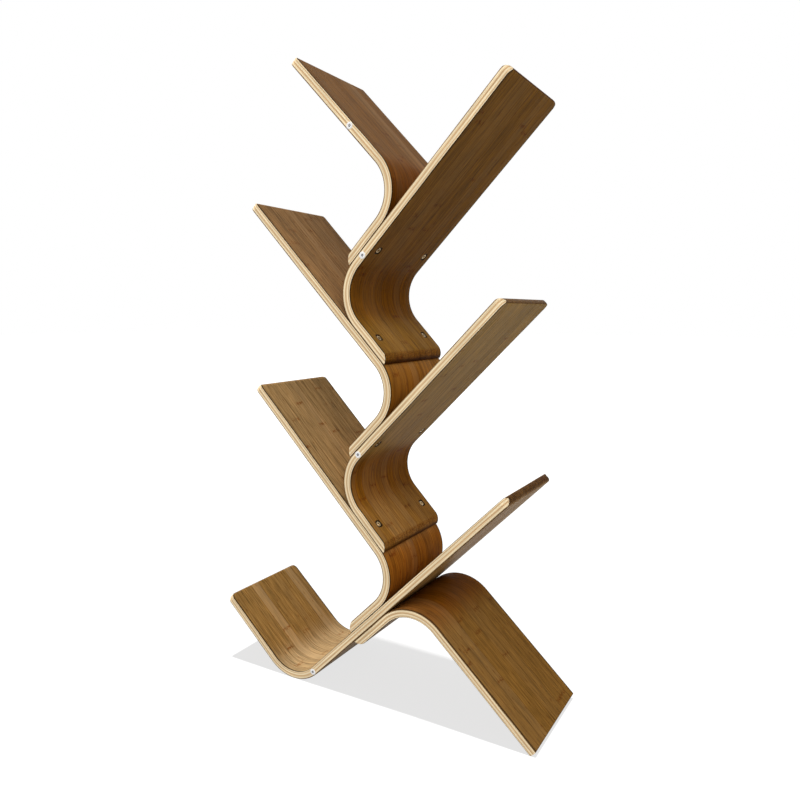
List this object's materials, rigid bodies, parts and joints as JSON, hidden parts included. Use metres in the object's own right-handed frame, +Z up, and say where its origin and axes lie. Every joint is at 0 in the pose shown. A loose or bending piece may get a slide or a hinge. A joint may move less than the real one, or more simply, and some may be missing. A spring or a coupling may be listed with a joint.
{
  "type": "tree bookshelf",
  "caption": "Free-standing tree bookshelf: bent laminated bamboo boards bolted in a zigzag, whose arms form V-shaped slots for books.",
  "frame": {"origin": "on the floor, midway between the outermost tips on the left and right, at mid-depth", "axes": "+Z up, +X to the right as seen from the front edges, +Y from the front edges to the back"},
  "size_m": [0.6638, 0.2053, 1.1392],
  "materials": {
    "bamboo": "satin lacquer on carbonised laminated bamboo, pale laminations on the edges",
    "bolt_steel": "yellow-passivated zinc plate",
    "insert_brass": "turned brass",
    "sticker": "white paper with a plain grey ring"
  },
  "bodies": {
    "root": {"top_left_board": "bamboo", "top_right_board": "bamboo", "middle_left_board": "bamboo", "middle_right_board": "bamboo", "lower_left_board": "bamboo", "base_board": "bamboo", "foot_board": "bamboo", "top_joint_bolts": "bolt_steel", "upper_joint_bolts": "bolt_steel", "middle_joint_bolts": "bolt_steel", "lower_joint_bolts": "bolt_steel", "base_joint_bolts": "bolt_steel", "top_joint_inserts": "insert_brass", "upper_joint_inserts": "insert_brass", "middle_joint_inserts": "insert_brass", "lower_joint_inserts": "insert_brass", "base_joint_inserts": "insert_brass", "top_left_sticker": "sticker", "top_right_sticker": "sticker", "middle_right_sticker": "sticker", "base_sticker": "sticker"}
  },
  "joints": []
}
